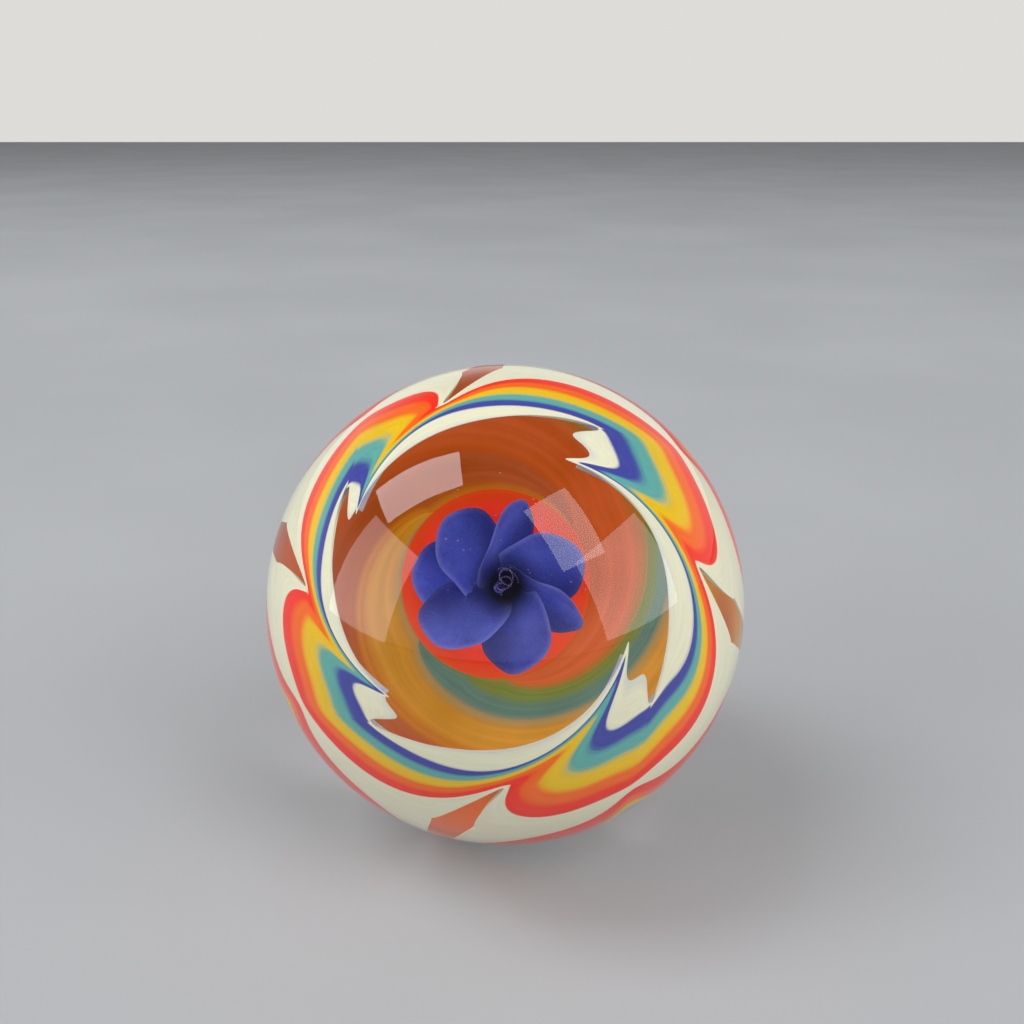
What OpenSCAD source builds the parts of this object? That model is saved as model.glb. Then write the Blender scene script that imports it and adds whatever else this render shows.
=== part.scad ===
// Lampworked glass marble: a clear ball over rings of coloured glass that were
// raked in and out along eight lines and then twisted, round a clear window.
// Behind the window a seven-petal flower stands in front of a twisted cup.
//
// The pattern is laid out on a sphere about the window's axis (local +Z):
// "down" is the angle from the window's centre, and "round" is the angle about
// the axis before the twist. All lengths are millimetres, all angles degrees.

/* [Marble] */
// Diameter of the finished ball
ball_d = 50.8; // [40:0.2:76]
// Clear glass over the raked rings
casing_t = 1.3; // [0.8:0.1:2]
// Thickness of the raked rings
ring_t = 1.2; // [0.6:0.1:1.8]

/* [Window] */
// Lean of the window's axis from straight up
lean = 58.8; // [0:0.1:90]
// Turn of the window's axis about the vertical
turn = -0.6; // [-30:0.1:30]

/* [Rings] */
// Edge of the window: down at mid leaf, at a drawn-in line, at a drawn-out line
window_edge = [37.5, 29.5, 44]; // [28:0.5:54]
// Width of the ivory lip at the same three places
ivory_lip_w = [6, 1, 0.5]; // [0.5:0.5:7]
// Width of the upper blue ring
blue_upper_w = [2.5, 2, 3]; // [1:0.5:4]
// Width of the upper teal ring
teal_upper_w = [3, 3, 3.5]; // [1:0.5:4]
// Width of the upper yellow ring
yellow_upper_w = [4, 4, 4.5]; // [1:0.5:5]
// Width of the upper orange ring
orange_upper_w = [3.5, 4, 3.5]; // [1:0.5:5]
// Width of the upper red ring
red_upper_w = [4, 3, 3]; // [1:0.5:5]
// Width of the ivory waist, with the slit it opens into at a drawn-in line
ivory_waist_w = [9, 52, 2.5]; // [2:0.5:54]
// Width of the lower red ring
red_lower_w = [10.5, 2.5, 3.5]; // [1.5:0.5:12]
// Width of the lower orange ring
orange_lower_w = [5, 1.5, 4]; // [1.5:0.5:6]
// Width of the lower yellow ring
yellow_lower_w = [4, 1.5, 4]; // [1.5:0.5:5]
// Width of the lower teal ring
teal_lower_w = [4, 1.5, 5]; // [1.5:0.5:6]
// Width of the lower blue ring
blue_lower_w = [5, 1.5, 5]; // [1.5:0.5:6]
// Width of the lower ivory ring
ivory_lower_w = [8, 3, 5]; // [2:0.5:9]

/* [Rake] */
// Lines where the rings were drawn in towards the window
in_lines = [67, 170, 242, 332]; // [0:1:360]
// Lines where the rings were drawn out, one after each drawn-in line
out_lines = [113, 202, 283, 377]; // [0:1:400]
// How far each drawn-in line stops short of the window
in_short = [0.5, 7.5, 6, 0.5]; // [0:0.5:8]
// How far each leaf between two lines sags at its middle
leaf_sag = [-1.5, -1, -0.5, -1, 0, 0, 0.5, 3.5]; // [-2:0.5:4]
// Spread of the window's edge beside a drawn-in line
fan_lip = 13; // [10:0.5:16]
// Spread of the first and last upper rings after a drawn-in line
fan_after = [13.5, 6.5]; // [4:0.5:15]
// Spread of the first and last upper rings before a drawn-in line
fan_before = [5, 9]; // [2:0.5:10]
// Spread of the lower rings beside a drawn-in line
fan_lower = 7; // [5:0.5:9]
// Spread beside a drawn-out line, before it and after it
fan_out = [3, 4.5]; // [1.5:0.5:9]
// How far either side of a drawn-in line its tips are rounded
in_soft = 3; // [2.5:0.5:6]
// How far either side of a drawn-out line its tips are rounded
out_soft = 7; // [1:0.5:8]
// Half width of the slit along a drawn-in line
slit_half = 5.5; // [4.5:0.5:10]
// Thinnest thread of colour or clear that the rake leaves
thread_w = 0.35; // [0.3:0.05:0.6]

/* [Twist] */
// Turn that the twist adds from the window outwards
twist = 78; // [0:1:90]
// Where the twist begins
twist_start = 28; // [20:1:35]
// How far down the twist fades by two thirds
twist_fade = 12.5; // [8:0.5:20]
// Lean of each rake line near the window, in degrees round for each degree down
line_lean = [0.4, 0.6, 2.2, 0.6, 1.5, 0, 0.8, 0.2]; // [0:0.1:2.2]
// Where that lean begins
lean_start = 47; // [44:1:50]

/* [Flower] */
// Height of the flower's heart on the window's axis
flower_z = -3.3; // [-6:0.1:0]
// Offset of the heart across the axis, sideways
flower_x = -0.5; // [-2:0.1:2]
// Offset of the heart across the axis, upwards
flower_y = 1.1; // [-2:0.1:2]
// Radius of a petal's lobe
petal_r = 2.7; // [2:0.05:3.3]
// Reach from the heart to the middle of a lobe, in lobe radii
petal_reach = 1.45; // [1.45:0.01:1.7]
// Thickness of a petal
petal_t = 0.4; // [0.3:0.05:0.6]
// Radius to which a petal is cupped, in lobe radii
petal_cup = 1.85; // [1.85:0.05:2.5]
// Directions of the seven petals
petal_round = [132, 89, 29, 351, 297, 222, 172]; // [0:1:360]
// How far each petal is rolled about its own length
petal_roll = [24, 62, 24, 62, 24, 24, 14]; // [0:1:70]
// How far each petal is set back from the heart, in lobe radii
petal_back = [0.36, 0.12, 0.34, 0, 0.11, 0, 0.85]; // [0:0.01:1]
// Rise of a petal from its root to its tip
petal_rise = 16; // [0:1:35]
// Diameter of the air bubble caught in the heart
bubble_d = 0.9; // [0.4:0.1:1.4]

/* [Twisted cup] */
// Depth of the cup's back below the ball's surface
cup_depth = 4; // [3:0.1:6]
// Thickness of the cup
cup_t = 1; // [0.6:0.1:1.5]
// Tip of the cup's axis off the window's axis
cup_tip = 8; // [0:0.5:10]
// Direction of that tip
cup_tip_round = 110; // [0:1:360]
// Radius of the red eye, as an angle
eye_a = 17.5; // [12:0.5:22]
// Radius of the cup's rim, as an angle
rim_a = 47.5; // [40:0.5:50]
// Where the amber, ochre, teal, green and orange arms leave the eye
arm_starts = [36, 132, 216, 252, 276]; // [0:12:348]
// Turn of an arm from the eye to the rim
arm_turn = 420; // [360:12:540]
// How soon an arm sweeps outwards, with 1 for an even spiral
arm_sweep = 0.7; // [0.6:0.05:1]

/* [Hidden] */

ball_r = ball_d / 2;
ring_out_r = ball_r - casing_t;
ring_in_r = ring_out_r - ring_t;
cup_out_r = ball_r - cup_depth;
cup_in_r = cup_out_r - cup_t;

// Stations across a leaf after a drawn-in line and across the one before the
// next, closer together beside the rake lines
after_steps = 7;
before_steps = 9;
before_crowd = 1.7;
pair_steps = after_steps + before_steps;
pair_count = len(in_lines);
leaf_count = 2 * pair_count;
columns = pair_count * pair_steps;

// Steps of the cup's spirals
cup_step = 12;
cup_columns = 360 / cup_step;
eye_rings = 2;

// Colours of the glasses
ivory = [0.92, 0.91, 0.78];
blue = [0.29, 0.31, 0.65];
teal = [0.39, 0.69, 0.65];
yellow = [0.88, 0.76, 0.04];
orange = [0.98, 0.43, 0.04];
burnt = [0.78, 0.33, 0.04];
red = [0.98, 0.20, 0.02];
amber = [0.67, 0.29, 0.02];
ochre = [0.71, 0.49, 0.0];
moss = [0.43, 0.49, 0.16];
petal_blue = [0.24, 0.27, 0.65];
clear = [0.9, 0.95, 0.97, 0.25];

// ---- Layout of the raked rings ----

upper_widths = [ivory_lip_w, blue_upper_w, teal_upper_w, yellow_upper_w, orange_upper_w, red_upper_w];
lower_widths = [red_lower_w, orange_lower_w, yellow_lower_w, teal_lower_w, blue_lower_w, ivory_lower_w];
upper_count = len(upper_widths);
lower_count = len(lower_widths);

// Running sum of the first n widths, from a first edge
function edge_after(first, widths, n) = n == 0 ? first : edge_after(first, widths, n - 1) + widths[n - 1];

// Edges counted from the window: 0 to upper_count, the two sides of the slit,
// and then the lower rings' edges
slit_top = upper_count + 1;
slit_bottom = slit_top + 1;
edge_count = slit_bottom + 1 + lower_count + 1;
waist_top = edge_after(window_edge, upper_widths, upper_count);
waist_bottom = waist_top + ivory_waist_w;
waist_middle = (waist_top + waist_bottom) / 2;
function is_lower(e) = e > slit_bottom;
function edge_stations(e) =
  is_lower(e) ? edge_after(waist_bottom, lower_widths, e - slit_bottom - 1)
              : edge_after(window_edge, upper_widths, e);

// Rake lines in order round the ball, and the leaf that starts at each
lines = [for (k = [0 : len(in_lines) - 1]) each [in_lines[k], out_lines[k]]];
function line_at(k) = lines[k % leaf_count] + 360 * floor(k / leaf_count);
function station(column) = column % pair_steps;
function leaf_of(column) = 2 * floor(column / pair_steps) + (station(column) < after_steps ? 0 : 1);
function leaf_share(column) =
  station(column) < after_steps
    ? (1 - cos(180 * station(column) / after_steps)) / 2
    : 1 - pow(1 - (station(column) - after_steps) / before_steps, before_crowd);
function round_of(column) =
  let (k = leaf_of(column)) line_at(k) + leaf_share(column) * (line_at(k + 1) - line_at(k));

// Distances to the drawn-in and the drawn-out line of a column's own leaf
function starts_in(column) = leaf_of(column) % 2 == 0;
function past_start(column) = round_of(column) - line_at(leaf_of(column));
function before_end(column) = line_at(leaf_of(column) + 1) - round_of(column);
function to_in(column) = starts_in(column) ? past_start(column) : before_end(column);
function to_out(column) = starts_in(column) ? before_end(column) : past_start(column);
// The same distances with the point of each tip rounded
function rounded(d, soft) = sqrt(d * d + soft * soft) - soft;
function near_in(column) = rounded(to_in(column), in_soft);
function near_out(column) = rounded(to_out(column), out_soft);
function sag(column) = leaf_sag[leaf_of(column)] * pow(sin(180 * leaf_share(column)), 2);
function short(column) = in_short[ceil(leaf_of(column) / 2) % pair_count];

// Spread of edge e beside the two kinds of line
function blend(first, last, share) = first + (last - first) * share;
function in_fan(e, column) =
  let (fan = starts_in(column) ? fan_after : fan_before)
    is_lower(e) ? fan_lower : e == 0 ? fan_lip : blend(fan[0], fan[1], (e - 1) / (upper_count - 1));
function out_fan(column) = starts_in(column) ? fan_out[0] : fan_out[1];

// Where edge e lies in a column, before neighbours push on it
function raw_edge(e, column) =
  let (s = edge_stations(e), inmost = s[1] + (is_lower(e) ? 0 : short(column) * (1 - e / upper_count)))
    s[0] + (e == 0 ? 0 : sag(column))
    + (inmost - s[0]) * exp(-near_in(column) / in_fan(e, column))
    + (s[2] - s[0]) * exp(-near_out(column) / out_fan(column));

// The slit is a lens along each drawn-in line and is shut elsewhere
function slit_open(column) = to_in(column) < slit_half ? pow(1 - pow(to_in(column) / slit_half, 2), 2) : 0;
function slit_middle(column) =
  waist_middle[0] + sag(column)
  + (waist_middle[2] - waist_middle[0]) * exp(-near_out(column) / out_fan(column));
slit_top_end = waist_top[1] + 1;
slit_bottom_end = waist_bottom[1] - 1.5;

// Where edge e lies in a column. Every ring keeps at least a thread.
function edge_down(e, column) =
  e == slit_top ? slit_middle(column) + (slit_top_end - slit_middle(column)) * slit_open(column)
  : e == slit_bottom ? slit_middle(column) + (slit_bottom_end - slit_middle(column)) * slit_open(column)
  : is_lower(e) ? max(raw_edge(e, column), edge_down(e - 1, column) + thread_w)
  : min(raw_edge(e, column), edge_down(e + 1, column) - thread_w);

downs = [for (e = [0 : edge_count - 1]) [for (c = [0 : columns - 1]) edge_down(e, c)]];

// Point of the twisted pattern at a radius
function twisted(down) = -twist * (1 - exp(-(down - twist_start) / twist_fade));
function leaned_round(down, column) =
  let (k = leaf_of(column), lean = blend(line_lean[k], line_lean[(k + 1) % leaf_count], leaf_share(column)))
    round_of(column) + lean * max(lean_start - down, 0);
function on_sphere(r, down, round) = r * [sin(down) * cos(round), sin(down) * sin(round), cos(down)];
function pattern_point(r, e, column) =
  let (down = downs[e][column]) on_sphere(r, down, leaned_round(down, column) + twisted(down));

// Each panel between two edges is split along the diagonal that keeps both of
// its halves facing outwards
function facing(a, b, c) = -cross(a, b) * c;
function splits_down(e, column) =
  let (
    next = (column + 1) % columns,
    a = pattern_point(1, e, column),
    b = pattern_point(1, e, next),
    c = pattern_point(1, e + 1, column),
    d = pattern_point(1, e + 1, next)
  )
    min(facing(a, b, d), facing(a, d, c)) > min(facing(a, b, c), facing(b, d, c));

// ---- Sheets of coloured glass between edges ----

// Closed ring of glass from one edge to another, with the slit where it lies
// between them. Rows are edges, and each row has an outer and an inner side.
module ring_sheet(first, last) {
  rows = [for (e = [first : last]) e];
  side = len(rows) * columns;
  function id(row, column, inner) = inner * side + row * columns + column % columns;
  function is_slit(row) = rows[row] == slit_top;
  points = [
    for (r = [ring_out_r, ring_in_r]) for (e = rows) for (c = [0 : columns - 1]) pattern_point(r, e, c)
  ];
  skins = [
    for (row = [0 : len(rows) - 2]) if (!is_slit(row)) for (c = [0 : columns - 1]) each
      splits_down(rows[row], c)
        ? [
            [id(row, c, 0), id(row, c + 1, 0), id(row + 1, c + 1, 0)],
            [id(row, c, 0), id(row + 1, c + 1, 0), id(row + 1, c, 0)],
            [id(row, c, 1), id(row + 1, c + 1, 1), id(row, c + 1, 1)],
            [id(row, c, 1), id(row + 1, c, 1), id(row + 1, c + 1, 1)]
          ]
        : [
            [id(row, c, 0), id(row, c + 1, 0), id(row + 1, c, 0)],
            [id(row, c + 1, 0), id(row + 1, c + 1, 0), id(row + 1, c, 0)],
            [id(row, c, 1), id(row + 1, c, 1), id(row, c + 1, 1)],
            [id(row, c + 1, 1), id(row + 1, c, 1), id(row + 1, c + 1, 1)]
          ]
  ];
  top_rows = [0, for (row = [0 : len(rows) - 2]) if (is_slit(row)) row + 1];
  bottom_rows = [len(rows) - 1, for (row = [0 : len(rows) - 2]) if (is_slit(row)) row];
  function shut(row, c) =
    (rows[row] == slit_top || rows[row] == slit_bottom) && slit_open(c % columns) == 0;
  walls = [
    for (row = top_rows) for (c = [0 : columns - 1]) if (!(shut(row, c) && shut(row, c + 1)))
      [id(row, c, 0), id(row, c, 1), id(row, c + 1, 1), id(row, c + 1, 0)],
    for (row = bottom_rows) for (c = [0 : columns - 1]) if (!(shut(row, c) && shut(row, c + 1)))
      [id(row, c, 0), id(row, c + 1, 0), id(row, c + 1, 1), id(row, c, 1)]
  ];
  polyhedron(points = points, faces = concat(skins, walls), convexity = 8);
}

// Coloured rings by their place in the stack
module upper_ring(n) { ring_sheet(n, n + 1); }
module waist_ring() { ring_sheet(upper_count, slit_bottom + 1); }
module lower_ring(n) { ring_sheet(slit_bottom + 1 + n, slit_bottom + 2 + n); }
module ring_stack() { ring_sheet(0, edge_count - 1); }

// ---- Twisted cup behind the flower ----

// Turns everything to the cup's own axis
module cup_frame() {
  rotate([0, 0, cup_tip_round]) rotate([0, -cup_tip, 0]) rotate([0, 0, -cup_tip_round]) children();
}

// Point on the cup's far sphere, measured from the far pole
function cup_point(r, far, round) = on_sphere(r, 180 - far, round);

// Arms run from the eye to the rim along spirals
arm_count = len(arm_starts);
function arm_start(k) = arm_starts[k % arm_count] + 360 * floor(k / arm_count);
function spiral(k, round) =
  eye_a + (rim_a - eye_a) * pow(min(max((round - arm_start(k)) / arm_turn, 0), 1), arm_sweep);

// One arm lies between its own spiral, outside, and the next one, inside
module cup_arm(k) {
  stations = [for (round = [arm_start(k) : cup_step : arm_start(k + 1) + arm_turn]) round];
  n = len(stations);
  points = [
    for (round = stations) each [
      cup_point(cup_out_r, spiral(k, round), round), cup_point(cup_in_r, spiral(k, round), round),
      cup_point(cup_out_r, spiral(k + 1, round), round), cup_point(cup_in_r, spiral(k + 1, round), round)
    ]
  ];
  // The two edges meet at both ends, so the end stations close on themselves
  function at(i, corner) = 4 * i + ((i == 0 || i == n - 1) && corner > 1 ? corner - 2 : corner);
  function tri(a, b, c) = (a == b || b == c || a == c) ? [] : [[a, b, c]];
  function quad(a, b, c, d) = concat(tri(a, b, c), tri(a, c, d));
  faces = [
    for (i = [0 : n - 2]) each concat(
      quad(at(i, 0), at(i + 1, 0), at(i + 1, 2), at(i, 2)),
      quad(at(i, 1), at(i, 3), at(i + 1, 3), at(i + 1, 1)),
      quad(at(i, 0), at(i, 1), at(i + 1, 1), at(i + 1, 0)),
      quad(at(i, 2), at(i + 1, 2), at(i + 1, 3), at(i, 3))
    )
  ];
  polyhedron(points = points, faces = faces, convexity = 6);
}

// The eye is a cap in rings about the far pole
module cup_eye() {
  points = [
    for (r = [cup_out_r, cup_in_r]) each [
      cup_point(r, 0, 0),
      for (ring = [1 : eye_rings]) for (c = [0 : cup_columns - 1])
        cup_point(r, eye_a * ring / eye_rings, c * cup_step)
    ]
  ];
  side = 1 + eye_rings * cup_columns;
  function id(ring, c, inner) =
    inner * side + (ring == 0 ? 0 : 1 + (ring - 1) * cup_columns + c % cup_columns);
  faces = [
    for (c = [0 : cup_columns - 1]) each [
      [id(0, c, 0), id(1, c, 0), id(1, c + 1, 0)],
      [id(0, c, 1), id(1, c + 1, 1), id(1, c, 1)],
      [id(eye_rings, c, 0), id(eye_rings, c, 1), id(eye_rings, c + 1, 1), id(eye_rings, c + 1, 0)]
    ],
    for (ring = [1 : eye_rings - 1]) for (c = [0 : cup_columns - 1]) each [
      [id(ring, c, 0), id(ring + 1, c, 0), id(ring + 1, c + 1, 0)],
      [id(ring, c, 0), id(ring + 1, c + 1, 0), id(ring, c + 1, 0)],
      [id(ring, c, 1), id(ring + 1, c + 1, 1), id(ring + 1, c, 1)],
      [id(ring, c, 1), id(ring, c + 1, 1), id(ring + 1, c + 1, 1)]
    ]
  ];
  polyhedron(points = points, faces = faces, convexity = 4);
}

module twisted_cup() {
  cup_eye();
  for (k = [0 : arm_count - 1]) cup_arm(k);
}

// ---- Flower ----

// Round lobe cut from a thin bowl, its back at the origin
petal_cup_r = petal_cup * petal_r;
module petal_lobe() {
  intersection() {
    translate([0, 0, petal_cup_r]) difference() {
      sphere(r = petal_cup_r, $fn = 64);
      sphere(r = petal_cup_r - petal_t, $fn = 64);
    }
    cylinder(r = petal_r, h = petal_cup_r, $fn = 64);
  }
}

// Petal k stands out from the heart, rolled so that it passes over the next one
module petal(k) {
  translate([flower_x, flower_y, flower_z - petal_back[k] * petal_r])
    rotate([0, 0, petal_round[k]])
      translate([petal_reach * petal_r, 0, 0])
        rotate([petal_roll[k], 0, 0])
          rotate([0, -petal_rise, 0])
            petal_lobe();
}

module flower() {
  for (k = [0 : len(petal_round) - 1]) petal(k);
}

module heart_bubble() {
  translate([flower_x, flower_y, flower_z]) sphere(d = bubble_d, $fn = 24);
}

// ---- Whole ball ----

// Leans the window's axis towards the viewer
module leaned() { rotate([lean, 0, turn]) children(); }

module clear_casing() {
  color(clear) leaned() difference() {
    sphere(r = ball_r, $fn = 96);
    ring_stack();
    cup_frame() twisted_cup();
    flower();
    heart_bubble();
  }
}

module ivory_lip() { color(ivory) leaned() upper_ring(0); }
module blue_upper() { color(blue) leaned() upper_ring(1); }
module teal_upper() { color(teal) leaned() upper_ring(2); }
module yellow_upper() { color(yellow) leaned() upper_ring(3); }
module orange_upper() { color(orange) leaned() upper_ring(4); }
module red_upper() { color(red) leaned() upper_ring(5); }
module ivory_waist() { color(ivory) leaned() waist_ring(); }
module red_lower() { color(red) leaned() lower_ring(0); }
module orange_lower() { color(orange) leaned() lower_ring(1); }
module yellow_lower() { color(yellow) leaned() lower_ring(2); }
module teal_lower() { color(teal) leaned() lower_ring(3); }
module blue_lower() { color(blue) leaned() lower_ring(4); }
module ivory_lower() { color(ivory) leaned() lower_ring(5); }

module flower_petal(n) { color(petal_blue) leaned() petal(n - 1); }

module cup_red() { color(red) leaned() cup_frame() cup_eye(); }
module cup_amber() { color(amber) leaned() cup_frame() cup_arm(0); }
module cup_ochre() { color(ochre) leaned() cup_frame() cup_arm(1); }
module cup_teal() { color(teal) leaned() cup_frame() cup_arm(2); }
module cup_green() { color(moss) leaned() cup_frame() cup_arm(3); }
module cup_orange() { color(burnt) leaned() cup_frame() cup_arm(4); }

clear_casing();
ivory_lip();
blue_upper();
teal_upper();
yellow_upper();
orange_upper();
red_upper();
ivory_waist();
red_lower();
orange_lower();
yellow_lower();
teal_lower();
blue_lower();
ivory_lower();
flower_petal(1);  // petal_1
flower_petal(2);  // petal_2
flower_petal(3);  // petal_3
flower_petal(4);  // petal_4
flower_petal(5);  // petal_5
flower_petal(6);  // petal_6
flower_petal(7);  // petal_7
cup_red();
cup_amber();
cup_ochre();
cup_teal();
cup_green();
cup_orange();
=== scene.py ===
import math
import random

import bmesh
import bpy
from mathutils import Matrix, Vector


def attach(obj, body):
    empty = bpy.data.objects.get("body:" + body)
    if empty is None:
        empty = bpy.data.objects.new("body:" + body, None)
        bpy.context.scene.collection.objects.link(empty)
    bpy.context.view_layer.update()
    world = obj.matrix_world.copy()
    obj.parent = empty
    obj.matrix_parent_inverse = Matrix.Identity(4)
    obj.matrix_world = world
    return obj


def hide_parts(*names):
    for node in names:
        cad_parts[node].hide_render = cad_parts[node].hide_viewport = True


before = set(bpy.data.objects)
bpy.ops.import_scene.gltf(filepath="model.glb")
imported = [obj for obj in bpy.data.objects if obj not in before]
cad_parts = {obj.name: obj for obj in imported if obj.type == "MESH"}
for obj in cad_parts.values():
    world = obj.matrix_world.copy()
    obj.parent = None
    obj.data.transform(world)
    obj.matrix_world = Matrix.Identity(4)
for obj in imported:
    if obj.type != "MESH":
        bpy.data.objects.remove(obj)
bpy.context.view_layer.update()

# ---------------------------------------------------------------------------
# The camera: a close look down into the clear window of the marble.
# ---------------------------------------------------------------------------
camera = bpy.data.objects.new("camera", bpy.data.cameras.new("camera"))
bpy.context.scene.collection.objects.link(camera)
camera.data.sensor_width = 36.0
camera.data.lens = 35.16
camera.data.clip_start = 0.002
camera.data.clip_end = 20.0
camera.location = (0.0007, -0.0979, 0.0492)
camera.rotation_euler = (math.radians(68.32), 0.0, 0.0)
bpy.context.scene.camera = camera
bpy.context.scene.view_settings.view_transform = "Standard"

# ---------------------------------------------------------------------------
# Clear casing: the ball itself, clear borosilicate glass gathered over all the
# colour and rounded in a graphite mould. Air is trapped where the petals meet,
# as one bubble and two coiled threads, and seeds of air lie round the flower.
# ---------------------------------------------------------------------------
MM = 0.001
BALL_R = 25.4
LEAN = math.radians(58.8)
TURN = math.radians(-0.6)
into_ball = Matrix.Rotation(TURN, 4, "Z") @ Matrix.Rotation(LEAN, 4, "X")
out_of_ball = into_ball.inverted()


class Strand:
    """A socket of a glass colour's nodes. Sums on strands lay Math nodes."""

    def __init__(self, tree, socket=None):
        self.tree = tree
        self.socket = socket

    def lay(self, kind, settings=None, sockets=None, out=0):
        """Lays one node, sets it first, then fills its sockets."""
        node = self.tree.nodes.new(kind)
        for name, value in (settings or {}).items():
            setattr(node, name, value)
        for name, value in (sockets or {}).items():
            if isinstance(value, Strand):
                self.tree.links.new(value.socket, node.inputs[name])
            else:
                node.inputs[name].default_value = value
        return Strand(self.tree, node.outputs[out] if node.outputs else None)

    def part(self, out):
        """Another output of the node that this strand comes from."""
        return Strand(self.tree, self.socket.node.outputs[out])

    def sum(self, how, first, second):
        return self.lay("ShaderNodeMath", {"operation": how}, {0: first, 1: second})

    def __add__(self, other):
        return self.sum("ADD", self, other)

    def __radd__(self, other):
        return self.sum("ADD", other, self)

    def __sub__(self, other):
        return self.sum("SUBTRACT", self, other)

    def __rsub__(self, other):
        return self.sum("SUBTRACT", other, self)

    def __mul__(self, other):
        return self.sum("MULTIPLY", self, other)

    def __rmul__(self, other):
        return self.sum("MULTIPLY", other, self)

    def most(self, other):
        return self.sum("MAXIMUM", self, other)

    def ease(self, low, high):
        """0 below low, 1 above high, smooth between."""
        return self.lay("ShaderNodeMapRange", {"interpolation_type": "SMOOTHSTEP"},
                        {"Value": self, "From Min": low, "From Max": high})

    def mix(self, first, second):
        """The colour first where this is 0, second where it is 1."""
        return self.lay("ShaderNodeMix", {"data_type": "RGBA"},
                        {"Factor": self, 6: first, 7: second}, 2)


def new_glass(name):
    """An empty material, and the strand that lays its nodes."""
    glass = bpy.data.materials.new(name)
    glass.use_nodes = True
    glass.node_tree.nodes.clear()
    return glass, Strand(glass.node_tree)


def pour(name, cut, glass, node):
    """Turns a bmesh into a finished piece that stands for its CAD node."""
    mesh = bpy.data.meshes.new(name)
    cut.to_mesh(mesh)
    cut.free()
    mesh.materials.append(glass)
    piece = bpy.data.objects.new(name, mesh)
    bpy.context.scene.collection.objects.link(piece)
    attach(piece, "root")
    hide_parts(node)


def tint(red, green, blue):
    """A colour written as screen levels from 0 to 255, as the shader wants it."""
    levels = [level / 255.0 for level in (red, green, blue)]
    return tuple(v / 12.92 if v <= 0.04045 else ((v + 0.055) / 1.055) ** 2.4
                 for v in levels) + (1.0,)


def darker(colour, share):
    return tuple(v * share for v in colour[:3]) + (1.0,)


def paler(colour, share):
    return tuple(v + (1 - v) * share for v in colour[:3]) + (1.0,)


def flat_ways(hand):
    """The long and the short way, each 0 to 1, of the flat grid a piece was mapped from."""
    along = hand.lay("ShaderNodeSeparateXYZ", {}, {0: hand.lay("ShaderNodeUVMap")})
    return along, along.part(1)


def wrapped(along, across, radius, stretch):
    """Bends the long way into a circle, so that a streak laid on it has no seam."""
    turn = along * (2 * math.pi)
    return along.lay("ShaderNodeCombineXYZ", {}, {
        0: turn.sum("COSINE", turn, 0.0) * radius, 1: turn.sum("SINE", turn, 0.0) * radius,
        2: across * stretch})


clear_glass, hand = new_glass("clear borosilicate")
place = hand.lay("ShaderNodeTexCoord", out=3)
swell = hand.lay("ShaderNodeTexNoise", {}, {"Vector": place, "Scale": 28.0, "Detail": 1.0})
gather = hand.lay("ShaderNodeTexNoise", {}, {"Vector": place, "Scale": 90.0, "Detail": 2.0})
worked = hand.lay("ShaderNodeBump", {}, {"Strength": 0.05, "Distance": 0.0006,
                                         "Height": swell + gather * 0.12})
faint = gather.ease(0.35, 0.65).mix(tint(252, 254, 254), tint(254, 254, 252))
body = hand.lay("ShaderNodeBsdfPrincipled", {}, {
    "Base Color": faint, "Roughness": 0.0, "IOR": 1.47, "Transmission Weight": 1.0,
    "Normal": worked})
through = hand.lay("ShaderNodeBsdfTransparent", {}, {"Color": (1.0, 1.0, 1.0, 1.0)})
lamp_ray = hand.lay("ShaderNodeLightPath", out=1)
bounce_ray = hand.lay("ShaderNodeLightPath", out=2)
cased = hand.lay("ShaderNodeMixShader", {}, {0: lamp_ray.most(bounce_ray), 1: body, 2: through})
hand.lay("ShaderNodeOutputMaterial", {}, {"Surface": cased})

ball = bmesh.new()
bmesh.ops.create_icosphere(ball, subdivisions=6, radius=BALL_R * MM)

HEART = Vector((-0.5, 1.1, -3.1))
BUBBLE_R = 0.45
SEEDS = 34
COILS = [(0.95, 0.07, 0.7), (0.5, 0.06, 1.0)]
COIL_STEPS = 72

air = bmesh.new()
random.seed(11)
bmesh.ops.create_icosphere(air, subdivisions=3, radius=BUBBLE_R * MM,
                           matrix=Matrix.Translation(HEART * MM))
for _ in range(SEEDS):
    out_from = Vector((random.gauss(0, 1), random.gauss(0, 1), random.gauss(0, 1))).normalized()
    far = random.uniform(2.0, 9.5)
    spot = HEART + Vector((out_from.x * far, out_from.y * far, abs(out_from.z) * far * 0.7 + 0.6))
    bmesh.ops.create_icosphere(air, subdivisions=2, radius=random.uniform(0.03, 0.085) * MM,
                               matrix=Matrix.Translation(spot * MM))
for coil, (radius, wire, rise) in enumerate(COILS):
    coil_axis = HEART + Vector((0.45, 0.3, 0.6 + 0.5 * coil))
    start = Matrix.Translation((coil_axis + Vector((radius, 0, 0))) * MM)
    disc = bmesh.ops.create_circle(air, segments=10, radius=wire * MM, cap_ends=True,
                                   matrix=start @ Matrix.Rotation(math.pi / 2, 4, "X"))["verts"]
    rim = list({edge for vert in disc for edge in vert.link_edges})
    cap = list({face for vert in disc for face in vert.link_faces})
    bmesh.ops.spin(air, geom=disc + rim + cap, cent=coil_axis * MM,
                   axis=(0.45 - coil, 0.5, 1), dvec=(0, 0, rise * MM / COIL_STEPS),
                   angle=math.radians(300 + 200 * coil), steps=COIL_STEPS, use_duplicate=False)
bmesh.ops.recalc_face_normals(air, faces=air.faces[:])
bmesh.ops.reverse_faces(air, faces=air.faces[:])
bmesh.ops.transform(air, matrix=into_ball, verts=air.verts)
hollows = bpy.data.meshes.new("air")
air.to_mesh(hollows)
air.free()
ball.from_mesh(hollows)
bpy.data.meshes.remove(hollows)
for face in ball.faces:
    face.smooth = True
pour("clear_casing", ball, clear_glass, "clear_casing")

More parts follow.
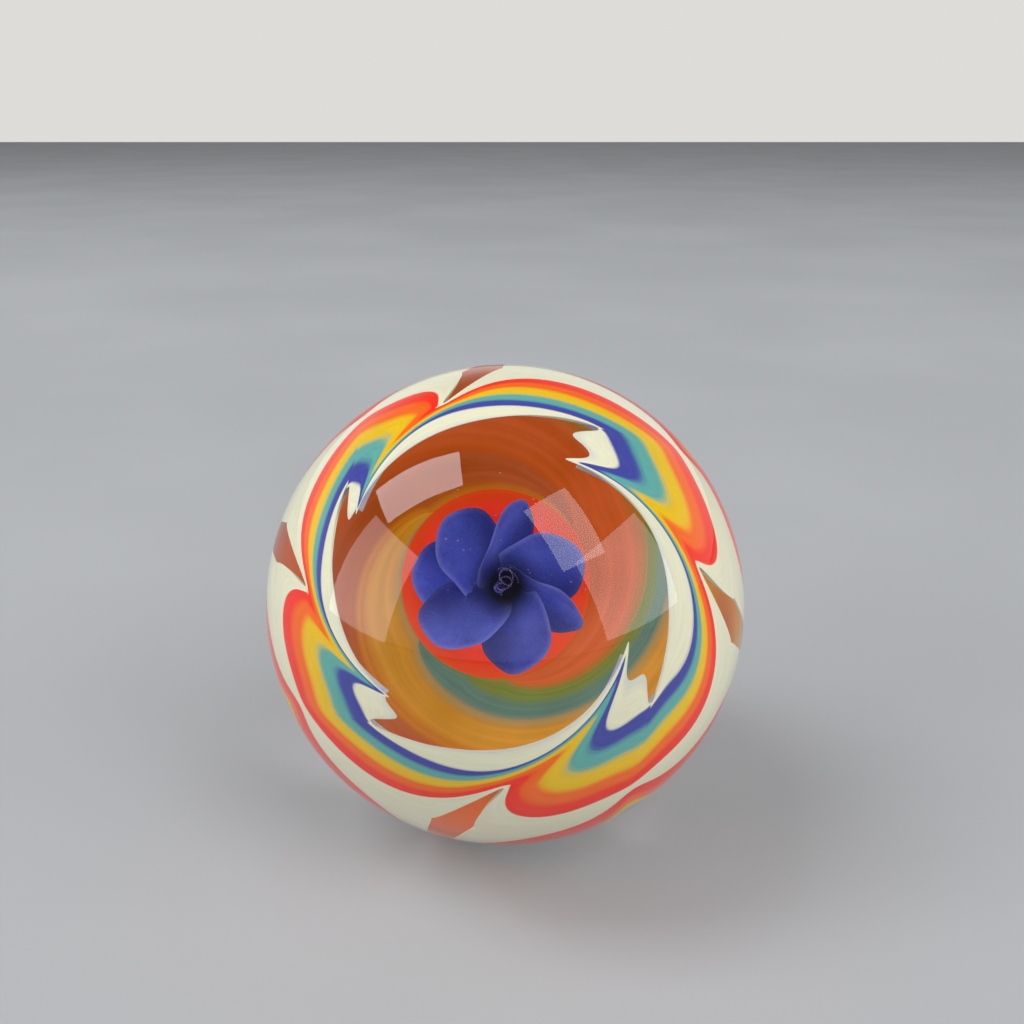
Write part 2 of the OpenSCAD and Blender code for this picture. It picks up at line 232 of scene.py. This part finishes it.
# ---------------------------------------------------------------------------
# Upper rings: six bands of opaque glass laid round the window from hot rods,
# ivory first, then blue, teal, yellow, orange and red. A pick drew them in and
# out along eight lines, and then the neck of the ball was twisted in the flame.
# ---------------------------------------------------------------------------
RING_OUT = 24.1
RING_IN = 22.9
RAKES = [67, 113, 170, 202, 242, 283, 332, 377, 427]
DRAWN_SHORT = [0.5, 7.5, 6.0, 0.5, 0.5]
SAG = [-1.5, -1.0, -0.5, -1.0, 0.0, 0.0, 0.5, 3.5]
LEAN_AT = [0.4, 0.6, 2.2, 0.6, 1.5, 0.0, 0.8, 0.2, 0.4]
WINDOW = (37.5, 29.5, 44.0)
UPPER = [(6, 1, 0.5), (2.5, 2, 3), (3, 3, 3.5), (4, 4, 4.5), (3.5, 4, 3.5), (4, 3, 3)]
WAIST = (9, 52, 2.5)
LOWER = [(10.5, 2.5, 3.5), (5, 1.5, 4), (4, 1.5, 4), (4, 1.5, 5), (5, 1.5, 5), (8, 3, 5)]
THREAD = 0.35
IN_SOFT, OUT_SOFT = 3.0, 7.0
FAN_LIP, FAN_AFTER, FAN_BEFORE = 13.0, (13.5, 6.5), (5.0, 9.0)
FAN_OUT, FAN_LOWER = (3.0, 4.5), 7.0
SLIT_HALF = 5.5
TWIST, TWIST_START, TWIST_FADE = 78.0, 28.0, 12.5
LEAN_START = 47.0


def fan_at(edge, opens):
    """How far round a drawn-in line still pulls on one edge of the upper rings, in degrees."""
    if edge == 0:
        return FAN_LIP
    first, last = FAN_AFTER if opens else FAN_BEFORE
    return first + (last - first) * (edge - 1) / 5


def edges_at(leaf, share):
    """The 16 edges of the rings at one place round, in degrees down from the window."""
    wide = RAKES[leaf + 1] - RAKES[leaf]
    past, before = share * wide, (1 - share) * wide
    opens = leaf % 2 == 0
    from_in, from_out = (past, before) if opens else (before, past)
    sag = SAG[leaf] * math.sin(math.pi * share) ** 2
    short = DRAWN_SHORT[leaf // 2 if opens else leaf // 2 + 1] if leaf < 7 else DRAWN_SHORT[0]
    near_in = math.hypot(from_in, IN_SOFT) - IN_SOFT
    near_out = math.hypot(from_out, OUT_SOFT) - OUT_SOFT
    pull_out = math.exp(-near_out / (FAN_OUT[0] if opens else FAN_OUT[1]))
    down = WINDOW
    upper = []
    for edge in range(7):
        pull_in = down[1] + short * (1 - edge / 6) - down[0]
        upper.append(down[0] + (sag if edge else 0) + pull_in * math.exp(-near_in / fan_at(edge, opens))
                     + (down[2] - down[0]) * pull_out)
        if edge < 6:
            down = [a + b for a, b in zip(down, UPPER[edge])]
    waist_top = down
    down = [a + b for a, b in zip(down, WAIST)]
    waist_low = down
    lower = []
    for edge in range(7):
        lower.append(down[0] + sag + (down[1] - down[0]) * math.exp(-near_in / FAN_LOWER)
                     + (down[2] - down[0]) * pull_out)
        if edge < 6:
            down = [a + b for a, b in zip(down, LOWER[edge])]
    middle = [(a + b) / 2 for a, b in zip(waist_top, waist_low)]
    half = middle[0] + sag + (middle[2] - middle[0]) * pull_out
    slit = (1 - (from_in / SLIT_HALF) ** 2) ** 2 if from_in < SLIT_HALF else 0.0
    slit_top = half + (waist_top[1] + 1 - half) * slit
    slit_low = half + (waist_low[1] - 1.5 - half) * slit
    edges = [slit_top, slit_low]
    for edge in reversed(upper):
        edges.insert(0, min(edge, edges[0] - THREAD))
    for edge in lower:
        edges.append(max(edge, edges[-1] + THREAD))
    return edges


STATIONS = 72
CROWD = 0.7
rake_columns = []
for leaf in range(8):
    for step in range(STATIONS):
        part_way = step / STATIONS
        share = part_way - CROWD * math.sin(2 * math.pi * part_way) / (2 * math.pi)
        rake_columns.append((leaf, share, edges_at(leaf, share)))
rake_columns.append((7, 1.0, edges_at(7, 1.0)))
FEATHER = 3.0
THINNEST = 0.06
OPEN_SLIT = 0.05


def rake_band(cut, upper_edge, lower_edge, rows, thin=None):
    """One strip between two edges, mapped from a flat grid onto the ball and shut to a ring."""
    wall = cut.verts.layers.float["wall"]
    made = bmesh.ops.create_grid(cut, x_segments=len(rake_columns) - 1, y_segments=rows,
                                 size=0.5, calc_uvs=True)["verts"]
    for vert in made:
        column = round((vert.co.x + 0.5) * (len(rake_columns) - 1))
        across = 0.5 - vert.co.y
        leaf, share, edges = rake_columns[column]
        vert[wall] = 1.0
        if thin == "top" or thin and edges[8] - edges[7] > OPEN_SLIT:
            bare = 1 - across if thin == "bottom" else across
            span = (edges[lower_edge] - edges[upper_edge]) * bare
            vert[wall] = max(THINNEST, min(1.0, span / FEATHER))
        down = edges[upper_edge] + (edges[lower_edge] - edges[upper_edge]) * across
        twist = -TWIST * (1 - math.exp(-(down - TWIST_START) / TWIST_FADE))
        lean = LEAN_AT[leaf] + (LEAN_AT[leaf + 1] - LEAN_AT[leaf]) * share
        round_it = math.radians(RAKES[leaf] + share * (RAKES[leaf + 1] - RAKES[leaf])
                                + twist + lean * max(LEAN_START - down, 0))
        down = math.radians(down)
        vert.co = Vector((math.sin(down) * math.cos(round_it), math.sin(down) * math.sin(round_it),
                          math.cos(down))) * RING_OUT * MM


SAME_PLACE = 0.002
SHARP = 0.9


def thicken(cut, outside, inside):
    """Gives a skin on the sphere its wall, straight in towards the middle of the ball.

    Drawn inwards, the shut wall comes out inside out, so all its faces are turned over."""
    bmesh.ops.remove_doubles(cut, verts=cut.verts, dist=SAME_PLACE * MM)
    bmesh.ops.recalc_face_normals(cut, faces=cut.faces)
    middle = sum((face.calc_center_median().dot(face.normal) for face in cut.faces), 0.0)
    if middle < 0:
        bmesh.ops.reverse_faces(cut, faces=cut.faces)
    skin = cut.faces[:]
    wall = bmesh.ops.extrude_face_region(cut, geom=skin, use_keep_orig=True)["geom"]
    share = cut.verts.layers.float.get("wall")
    full = (outside - inside) / outside
    for vert in [item for item in wall if isinstance(item, bmesh.types.BMVert)]:
        vert.co *= 1 - full * (vert[share] if share else 1.0)
    bmesh.ops.reverse_faces(cut, faces=cut.faces)
    for face in cut.faces:
        face.smooth = True
    for edge in cut.edges:
        if len(edge.link_faces) == 2 and edge.calc_face_angle(0) > SHARP:
            edge.smooth = False


rod_colours = {
    "opal": tint(176, 184, 204),
    "ivory": tint(236, 233, 202),
    "blue": tint(64, 70, 160),
    "teal": tint(96, 172, 164),
    "yellow": tint(240, 194, 2),
    "orange": tint(252, 104, 2),
    "red": tint(252, 38, 2),
}


def ring_glass(name, colour, above, below):
    """Opaque rod glass: streaked along the ring, bleeding a little into its neighbours."""
    glass, hand = new_glass(name)
    along, up = flat_ways(hand)
    across = 1 - up
    streak = hand.lay("ShaderNodeTexNoise", {}, {
        "Vector": wrapped(along, across, 3.0, 5.0), "Scale": 2.2, "Detail": 3.0})
    place = hand.lay("ShaderNodeTexCoord", out=3)
    grain = hand.lay("ShaderNodeTexNoise", {}, {"Vector": place, "Scale": 900.0, "Detail": 2.0})
    rod = rod_colours[colour]
    base = (streak * 0.8 + grain * 0.2).ease(0.2, 0.8).mix(darker(rod, 0.9), paler(rod, 0.02))
    drift = across + (streak - 0.5) * 0.12
    for side, neighbour in ((1 - drift, above), (drift, below)):
        if neighbour:
            soft = 0.4 if neighbour == "opal" else 0.1 if "ivory" in (colour, neighbour) else 0.3
            base = (side.ease(1.0 - soft, 1.0 + soft) * 0.9).mix(base, rod_colours[neighbour])
    fine = hand.lay("ShaderNodeBump", {}, {"Strength": 0.1, "Distance": 0.0001, "Height": grain})
    body = hand.lay("ShaderNodeBsdfPrincipled", {}, {
        "Base Color": base, "Roughness": 0.6 + streak * 0.2, "Specular IOR Level": 0.0,
        "Normal": fine})
    hand.lay("ShaderNodeOutputMaterial", {}, {"Surface": body})
    return glass


def lay_ring(name, glass, strips):
    """Lays one ring from its strips, leans it to the window's place and pours it."""
    cut = bmesh.new()
    cut.loops.layers.uv.new("UVMap")
    cut.verts.layers.float.new("wall")
    for strip in strips:
        rake_band(cut, *strip)
    thicken(cut, RING_OUT, RING_IN)
    bmesh.ops.transform(cut, matrix=into_ball, verts=cut.verts)
    pour(name, cut, glass, name)


def lay_rings(names, order, strips):
    """Lays a run of rings, each rod bleeding into the ones before and after it in the order."""
    for name, above, colour, below, strip in zip(names, order, order[1:], order[2:], strips):
        glass = ring_glass(name.replace("_", " ") + " rod", colour, above, below)
        lay_ring(name, glass, [strip])


lay_rings(["ivory_lip", "blue_upper", "teal_upper", "yellow_upper", "orange_upper", "red_upper"],
          ["opal", "ivory", "blue", "teal", "yellow", "orange", "red", "ivory"],
          [(0, 1, 12, "top")] + [(edge, edge + 1, 6) for edge in range(1, 6)])

# ---------------------------------------------------------------------------
# Ivory waist: the widest ring, a doubled ivory rod. Where the pick drew it in,
# it split, and a clear slit opens along each drawn-in line.
# ---------------------------------------------------------------------------
waist_glass = ring_glass("waist rod", "ivory", None, None)
lay_ring("ivory_waist", waist_glass, [(6, 7, 12, "bottom"), (8, 9, 12, "slit")])

# ---------------------------------------------------------------------------
# Lower rings: the same rods again in the other order, red to ivory, laid below
# the waist and carried round the underside of the ball.
# ---------------------------------------------------------------------------
lay_rings(["red_lower", "orange_lower", "yellow_lower", "teal_lower", "blue_lower", "ivory_lower"],
          ["ivory", "red", "orange", "yellow", "teal", "blue", "ivory", None],
          [(edge, edge + 1, 5) for edge in range(9, 15)])

# ---------------------------------------------------------------------------
# Petals: seven lobes of blue-violet rod, pressed on in a fan and drawn back
# into the clear glass, so each is a thin bowl that rises from the heart.
# ---------------------------------------------------------------------------
PETAL_R = 2.7
PETAL_BOWL = 1.85 * PETAL_R
PETAL_REACH = 1.45 * PETAL_R
PETAL_WIDE = 1.06
PETAL_RIPPLE = 0.025
PETAL_WALL = 0.4
PETAL_TIP = -16
CLAW_REACH = 0.48
CLAW_DROP = 1.3
RUFFLE = 0.1
FLOWER = Vector((HEART.x, HEART.y, -3.3))
# Centre of the painted shade at the flower's heart.
HEART_SHADE_AT = Vector((-0.05, 1.3, 0))
PETAL_ROUND = [132, 89, 29, 351, 297, 222, 172]
PETAL_ROLL = [24, 62, 24, 62, 24, 24, 14]
PETAL_BACK = [0.36, 0.12, 0.34, 0.0, 0.11, 0.0, 0.85]

petal_glass, hand = new_glass("petal rod")
place = hand.lay("ShaderNodeTexCoord", out=3)
round_way, out_way = flat_ways(hand)
veins = hand.lay("ShaderNodeTexNoise", {}, {
    "Vector": wrapped(round_way, out_way, 6.0, 1.5), "Scale": 1.6, "Detail": 4.0})
speck = hand.lay("ShaderNodeTexVoronoi", {}, {"Vector": place, "Scale": 5200.0})
cloud = hand.lay("ShaderNodeTexNoise", {}, {"Vector": place, "Scale": 420.0, "Detail": 3.0})
blue = (veins * 0.3 + cloud * 0.7).ease(0.25, 0.75).mix(tint(60, 70, 166), tint(82, 94, 192))
blue = ((0.42 - speck).ease(0.0, 0.3) * 0.3).mix(blue, tint(104, 112, 200))
# Painted highlight: the petals paler towards their rims.
blue = (out_way.ease(0.84, 1.0) * 0.4).mix(blue, tint(130, 138, 210))
# Painted shade: each petal darker along the side that tucks under its neighbour.
tuck_shade = hand.lay("ShaderNodeAttribute", {"attribute_name": "tuck_shade"}, out=2)
blue = ((tuck_shade + (veins - 0.5) * 0.5).ease(0.2, 1.1) * 0.75).mix(blue, tint(28, 31, 94))
# Painted shade: the petals go nearly black towards the heart, where they meet.
root = hand.lay("ShaderNodeAttribute", {"attribute_name": "root"}, out=2)
blue = root.mix(blue, tint(12, 10, 26))
# The emission is a painted glow: it stands in for light reaching the petals through the glass from
# behind.
body = hand.lay("ShaderNodeBsdfPrincipled", {}, {
    "Base Color": blue, "Roughness": 0.7 + cloud * 0.2, "Specular IOR Level": 0.0,
    "Emission Color": blue, "Emission Strength": 0.45,
    "Normal": hand.lay("ShaderNodeBump", {}, {
        "Strength": 0.2, "Distance": 0.0001, "Height": veins * 0.4 + speck * 0.3})})
hand.lay("ShaderNodeOutputMaterial", {}, {"Surface": body})

for number, (turned, roll, back) in enumerate(zip(PETAL_ROUND, PETAL_ROLL, PETAL_BACK)):
    lobe = bmesh.new()
    lobe.loops.layers.uv.new("UVMap")
    heart_shade_layer = lobe.verts.layers.float.new("root")
    tuck_shade_layer = lobe.verts.layers.float.new("tuck_shade")
    bmesh.ops.create_grid(lobe, x_segments=72, y_segments=18, size=0.5, calc_uvs=True)
    for vert in lobe.verts:
        turn, out = (vert.co.x + 0.5) * 2 * math.pi, vert.co.y + 0.5
        reach = PETAL_R * out * (PETAL_WIDE + PETAL_RIPPLE * math.sin(5 * turn + number) * out)
        height = PETAL_BOWL - math.sqrt(PETAL_BOWL ** 2 - reach ** 2)
        claw = max(0.0, -math.cos(turn)) ** 3 * out ** 2
        reach *= 1 + CLAW_REACH * claw
        height -= CLAW_DROP * claw
        ruffle = RUFFLE * out ** 3 * math.sin(4 * turn + 2 * number)
        # Painted shade mask, strongest on the lower side of the lobe, which tucks under the next petal.
        vert[tuck_shade_layer] = max(0.0, 0.45 - math.sin(turn) * out * 0.75 - math.cos(turn) * out * 0.25)
        vert.co = Vector((reach * math.cos(turn), reach * math.sin(turn), height + ruffle)) * MM
    bmesh.ops.remove_doubles(lobe, verts=lobe.verts, dist=SAME_PLACE * MM)
    bmesh.ops.recalc_face_normals(lobe, faces=lobe.faces)
    wall = bmesh.ops.extrude_face_region(lobe, geom=lobe.faces[:], use_keep_orig=True)["geom"]
    for vert in [item for item in wall if isinstance(item, bmesh.types.BMVert)]:
        lip = min(1.0, math.hypot(vert.co.x, vert.co.y) / (PETAL_R * MM))
        vert.co.z += PETAL_WALL * MM * math.sqrt(max(0.02, 1 - lip ** 6))
    bmesh.ops.recalc_face_normals(lobe, faces=lobe.faces)
    for face in lobe.faces:
        face.smooth = True
    in_flower = (Matrix.Translation((FLOWER - Vector((0, 0, back * PETAL_R))) * MM)
                 @ Matrix.Rotation(math.radians(turned), 4, "Z")
                 @ Matrix.Translation(Vector((PETAL_REACH, 0, 0)) * MM)
                 @ Matrix.Rotation(math.radians(roll), 4, "X")
                 @ Matrix.Rotation(math.radians(PETAL_TIP), 4, "Y"))
    bmesh.ops.transform(lobe, matrix=into_ball @ in_flower, verts=lobe.verts)
    # root: painted shade, full close to the heart and gone about 3 mm from it.
    for vert in lobe.verts:
        flat = (out_of_ball @ vert.co) / MM - HEART_SHADE_AT
        vert[heart_shade_layer] = max(0.0, min(1.0, 1.5 - flat.xy.length / 2.1)) ** 1.4
    pour(f"petal_{number + 1}", lobe, petal_glass, f"petal_{number + 1}")

# ---------------------------------------------------------------------------
# Twisted cup: a red eye and five arms of amber, ochre, teal, green and burnt
# orange frit, laid behind the flower and twisted into a spiral. The colours
# melted into each other, so their edges are soft.
# ---------------------------------------------------------------------------
CUP_OUT = 21.4
CUP_IN = 20.4
EYE = 17.5
RIM = 47.5
ARM_STARTS = [36, 132, 216, 252, 276]
ARM_SWEEP = 420
ARM_CURL = 0.7
CUP_STEP = 3
CUP_TIP = math.radians(-8)
CUP_TIP_AT = math.radians(110)
tip_it = (into_ball @ Matrix.Rotation(CUP_TIP_AT, 4, "Z")
          @ Matrix.Rotation(CUP_TIP, 4, "Y") @ Matrix.Rotation(-CUP_TIP_AT, 4, "Z"))


def arm_start(arm):
    """Where an arm sets out, in degrees round. The sixth is the first again, one turn on."""
    return ARM_STARTS[arm % 5] + 360 * (arm // 5)


def spiral(arm, turned):
    """How far out the edge between two arms has come at this turn, in degrees."""
    share = max(0.0, min(1.0, (turned - arm_start(arm)) / ARM_SWEEP))
    return EYE + (RIM - EYE) * share ** ARM_CURL


def cup_glass(name, own, outer, inner):
    """Frit glass: mottled and streaked along the twist, melted into both neighbours, and given a
    painted glow.
    """
    glass, hand = new_glass(name)
    along, across = flat_ways(hand)
    place = hand.lay("ShaderNodeTexCoord", out=3)
    cloud = hand.lay("ShaderNodeTexNoise", {}, {"Vector": place, "Scale": 160.0, "Detail": 4.0})
    streak = hand.lay("ShaderNodeTexNoise", {}, {
        "Vector": hand.lay("ShaderNodeCombineXYZ", {}, {0: along * 2.0, 1: across * 3.0}),
        "Scale": 1.5, "Detail": 2.0})
    base = (cloud * 0.5 + streak * 0.5).ease(0.3, 0.7).mix(darker(own, 0.72), paler(own, 0.03))
    drift = across + (streak - 0.5) * 0.2
    base = (1 - drift).ease(0.68, 1.32).mix(base, outer)
    base = drift.ease(0.68, 1.32).mix(base, inner)
    # The emission is a painted glow: it stands in for light reaching the cup through the glass from
    # behind.
    body = hand.lay("ShaderNodeBsdfPrincipled", {}, {
        "Base Color": base, "Roughness": 0.6 + cloud * 0.2, "Specular IOR Level": 0.0,
        "Emission Color": base, "Emission Strength": 0.5})
    hand.lay("ShaderNodeOutputMaterial", {}, {"Surface": body})
    return glass


def lay_cup(name, glass, first, last, outer_edge, inner_edge, rows):
    """Maps a flat grid onto the cup's sphere between two spirals and gives it its wall.

    The places round are the same for every arm, so that neighbours meet without a gap."""
    cut = bmesh.new()
    cut.loops.layers.uv.new("UVMap")
    places = (last - first) // CUP_STEP
    bmesh.ops.create_grid(cut, x_segments=places, y_segments=rows, size=0.5, calc_uvs=True)
    for vert in cut.verts:
        turned = first + (last - first) * (vert.co.x + 0.5)
        across = vert.co.y + 0.5
        far = outer_edge(turned) + (inner_edge(turned) - outer_edge(turned)) * across
        down, round_it = math.radians(180 - far), math.radians(turned)
        vert.co = Vector((math.sin(down) * math.cos(round_it), math.sin(down) * math.sin(round_it),
                          math.cos(down))) * CUP_OUT * MM
    thicken(cut, CUP_OUT, CUP_IN)
    bmesh.ops.transform(cut, matrix=tip_it, verts=cut.verts)
    pour(name, cut, glass, name)


frit = {"amber": tint(178, 80, 2), "ochre": tint(208, 146, 0), "teal": tint(88, 128, 112),
        "green": tint(112, 130, 34), "orange": tint(206, 90, 4), "red": tint(240, 36, 0)}
eye_glass = cup_glass("red eye", frit["red"], frit["orange"], frit["red"])
lay_cup("cup_red", eye_glass, 0, 360, lambda turned: EYE, lambda turned: 0.0, 24)
arms = ["amber", "ochre", "teal", "green", "orange"]
for arm, colour in enumerate(arms):
    glass = cup_glass(colour + " frit", frit[colour], frit[arms[arm - 1]], frit[arms[(arm + 1) % 5]])
    lay_cup("cup_" + colour, glass,
            arm_start(arm), arm_start(arm + 1) + ARM_SWEEP,
            lambda turned, arm=arm: spiral(arm, turned),
            lambda turned, arm=arm: spiral(arm + 1, turned), 10)

# ---------------------------------------------------------------------------
# Floor and lamps: a plain pale bench top, four soft lamps that stand round the
# bench as window panes do, and a pale room that darkens overhead.
# ---------------------------------------------------------------------------
floor_top = bmesh.new()
bmesh.ops.create_grid(floor_top, x_segments=1, y_segments=1, size=3.0,
                      matrix=Matrix.Translation((0, 0, -BALL_R * MM)))
floor_mesh = bpy.data.meshes.new("floor")
floor_top.to_mesh(floor_mesh)
floor_top.free()
floor = bpy.data.objects.new("floor", floor_mesh)
bpy.context.scene.collection.objects.link(floor)
bench, hand = new_glass("pale bench")
place = hand.lay("ShaderNodeTexCoord", out=3)
wear = hand.lay("ShaderNodeTexNoise", {}, {"Vector": place, "Scale": 9.0, "Detail": 4.0})
top = wear.ease(0.3, 0.7).mix(tint(172, 174, 177), tint(178, 180, 183))
body = hand.lay("ShaderNodeBsdfPrincipled", {}, {
    "Base Color": top, "Roughness": 0.8 + wear * 0.1, "Specular IOR Level": 0.1})
hand.lay("ShaderNodeOutputMaterial", {}, {"Surface": body})
floor_mesh.materials.append(bench)

LAMP_FAR = 1.5
for name, towards, wide, high, watts in [
        ("left pane", (-0.91, -0.355, 0.27), 0.90, 1.26, 9.45),
        ("right pane", (0.84, -0.40, 0.36), 1.14, 1.02, 9.45),
        ("back pane", (-0.55, 0.0, 0.83), 0.51, 0.90, 8.55),
        ("near pane", (0.44, -0.44, 0.79), 0.60, 0.84, 5.40)]:
    lamp = bpy.data.lights.new(name, "AREA")
    lamp.shape = "RECTANGLE"
    lamp.size = wide
    lamp.size_y = high
    lamp.energy = watts
    stand = bpy.data.objects.new(name, lamp)
    stand.location = Vector(towards).normalized() * LAMP_FAR
    stand.rotation_euler = (-stand.location).to_track_quat("-Z", "Y").to_euler()
    stand.visible_transmission = False
    bpy.context.scene.collection.objects.link(stand)

room = bpy.data.worlds.new("room")
bpy.context.scene.world = room
room.use_nodes = True
room.node_tree.nodes.clear()
hand = Strand(room.node_tree)
seen = hand.lay("ShaderNodeLightPath", out=0)
mirrored = hand.lay("ShaderNodeLightPath", out=3)
bent = hand.lay("ShaderNodeLightPath", out=6)
shown = seen.most(mirrored).most(bent)
height = hand.lay("ShaderNodeSeparateXYZ", {}, {0: hand.lay("ShaderNodeTexCoord")}, 2)
backdrop = height.ease(0.1, 0.55).mix((0.73, 0.716, 0.69, 1.0), (0.12, 0.12, 0.125, 1.0))
air_light = shown.mix((0.38, 0.385, 0.39, 1.0), backdrop)
lit = hand.lay("ShaderNodeBackground", {}, {"Color": air_light, "Strength": 1.0})
hand.lay("ShaderNodeOutputWorld", {}, {"Surface": lit})
